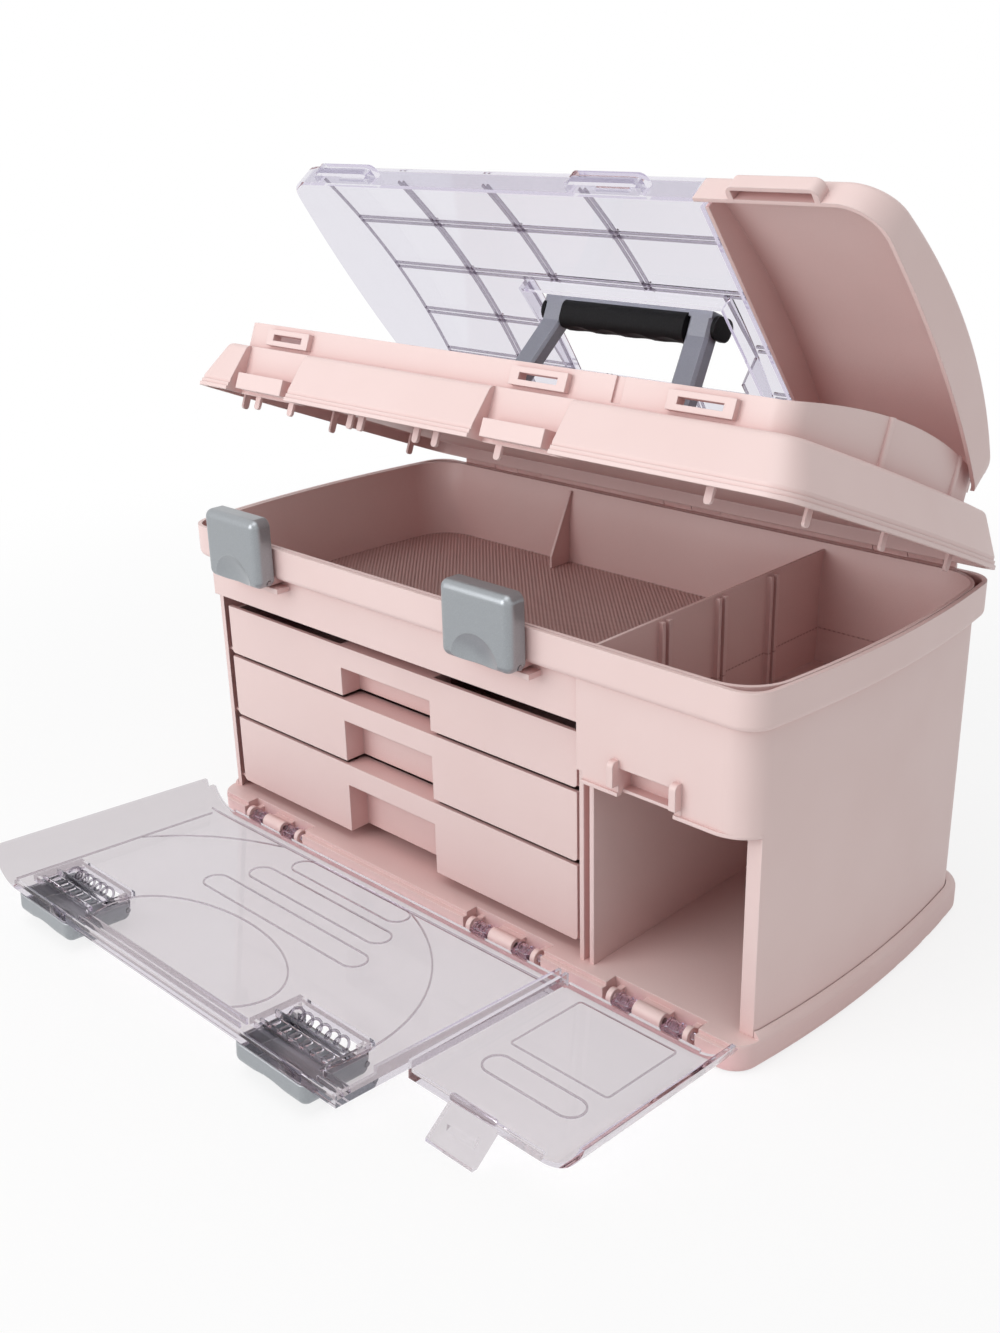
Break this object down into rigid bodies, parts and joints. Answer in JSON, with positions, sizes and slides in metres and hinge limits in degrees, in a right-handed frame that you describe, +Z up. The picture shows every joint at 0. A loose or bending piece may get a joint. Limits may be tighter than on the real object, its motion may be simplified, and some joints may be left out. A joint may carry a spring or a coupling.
{
  "type": "makeup storage case",
  "caption": "Carry case with a hinged lid tray, clear and plain lid covers, a folding handle, a bin, drawers and a cubby behind clear drop-down doors.",
  "frame": {"origin": "middle of the case's width and depth, on the floor under the base", "axes": "+X to the case's right seen from the front, +Y to the back, +Z up"},
  "size_m": [0.4508, 0.3916, 0.4132],
  "materials": {
    "case": "satin moulded pale pink plastic",
    "clear": "clear polished plastic",
    "latch": "silver grey satin plastic",
    "handle": "silver grey satin plastic",
    "grip": "matt black soft rubber",
    "pin": "plain steel wire"
  },
  "bodies": {
    "case": {"base_plinth": "case", "cabinet_shell": "case", "storage_bin": "case", "lid_hinge_pin_left": "pin", "lid_hinge_pin_middle": "pin", "lid_hinge_pin_right": "pin", "lid_latch_pin_left": "pin", "lid_latch_pin_right": "pin"},
    "lid": {"lid_base": "case", "cover_hinge_pin_left": "pin", "cover_hinge_pin_mid": "pin", "cover_hinge_pin_right": "pin", "handle_pin_left": "pin", "handle_pin_right": "pin"},
    "clear_lid_cover": {"clear_cover": "clear"},
    "plain_lid_cover": {"pink_cover": "case"},
    "handle": {"handle_frame": "handle", "handle_grip": "grip", "grip_end_left": "grip", "grip_end_right": "grip"},
    "front_door": {"drawer_door": "clear", "door_latch_pin_left": "pin", "door_latch_pin_right": "pin"},
    "cubby_door": {"side_door": "clear"},
    "left_door_latch": {"door_latch_left": "latch"},
    "right_door_latch": {"door_latch_right": "latch"},
    "left_lid_latch": {"lid_latch_left": "latch"},
    "right_lid_latch": {"lid_latch_right": "latch"},
    "top_drawer": {"drawer_top": "case"},
    "middle_drawer": {"drawer_middle": "case"},
    "bottom_drawer": {"drawer_bottom": "case"}
  },
  "joints": [
    {"name": "lid_hinge", "type": "hinge", "parent": "case", "child": "lid", "pos_m": [0, 0.1144, 0.2064], "axis": [-1, 0, 0], "range_deg": [-21.9, 68]},
    {"name": "clear_cover_hinge", "type": "hinge", "parent": "lid", "child": "clear_lid_cover", "pos_m": [0, 0.11621, 0.25299], "axis": [-1, 0, 0], "range_deg": [-30, 70]},
    {"name": "plain_cover_hinge", "type": "hinge", "parent": "lid", "child": "plain_lid_cover", "pos_m": [0, 0.11621, 0.25299], "axis": [-1, 0, 0], "range_deg": [-30, 70]},
    {"name": "handle_pivot", "type": "hinge", "parent": "lid", "child": "handle", "pos_m": [0, 0.02218, 0.27969], "axis": [-1, 0, 0], "range_deg": [-6, 25]},
    {"name": "front_door_hinge", "type": "hinge", "parent": "case", "child": "front_door", "pos_m": [0, -0.107, 0.011], "axis": [1, 0, 0], "range_deg": [-85.6, 0]},
    {"name": "cubby_door_hinge", "type": "hinge", "parent": "case", "child": "cubby_door", "pos_m": [0, -0.107, 0.011], "axis": [1, 0, 0], "range_deg": [-86.6, 0]},
    {"name": "left_door_latch_pivot", "type": "hinge", "parent": "front_door", "child": "left_door_latch", "pos_m": [0, -0.23284, 0.01145], "axis": [1, 0, 0], "range_deg": [0, 60]},
    {"name": "right_door_latch_pivot", "type": "hinge", "parent": "front_door", "child": "right_door_latch", "pos_m": [0, -0.23284, 0.01145], "axis": [1, 0, 0], "range_deg": [0, 60]},
    {"name": "left_lid_latch_pivot", "type": "hinge", "parent": "case", "child": "left_lid_latch", "pos_m": [0, -0.1156, 0.184], "axis": [1, 0, 0], "range_deg": [0, 75]},
    {"name": "right_lid_latch_pivot", "type": "hinge", "parent": "case", "child": "right_lid_latch", "pos_m": [0, -0.1156, 0.184], "axis": [1, 0, 0], "range_deg": [0, 75]},
    {"name": "top_drawer_slide", "type": "slide", "parent": "case", "child": "top_drawer", "axis": [0, -1, 0], "range_m": [0, 0.105]},
    {"name": "middle_drawer_slide", "type": "slide", "parent": "case", "child": "middle_drawer", "axis": [0, -1, 0], "range_m": [0, 0.105]},
    {"name": "bottom_drawer_slide", "type": "slide", "parent": "case", "child": "bottom_drawer", "axis": [0, -1, 0], "range_m": [0, 0.105]}
  ]
}
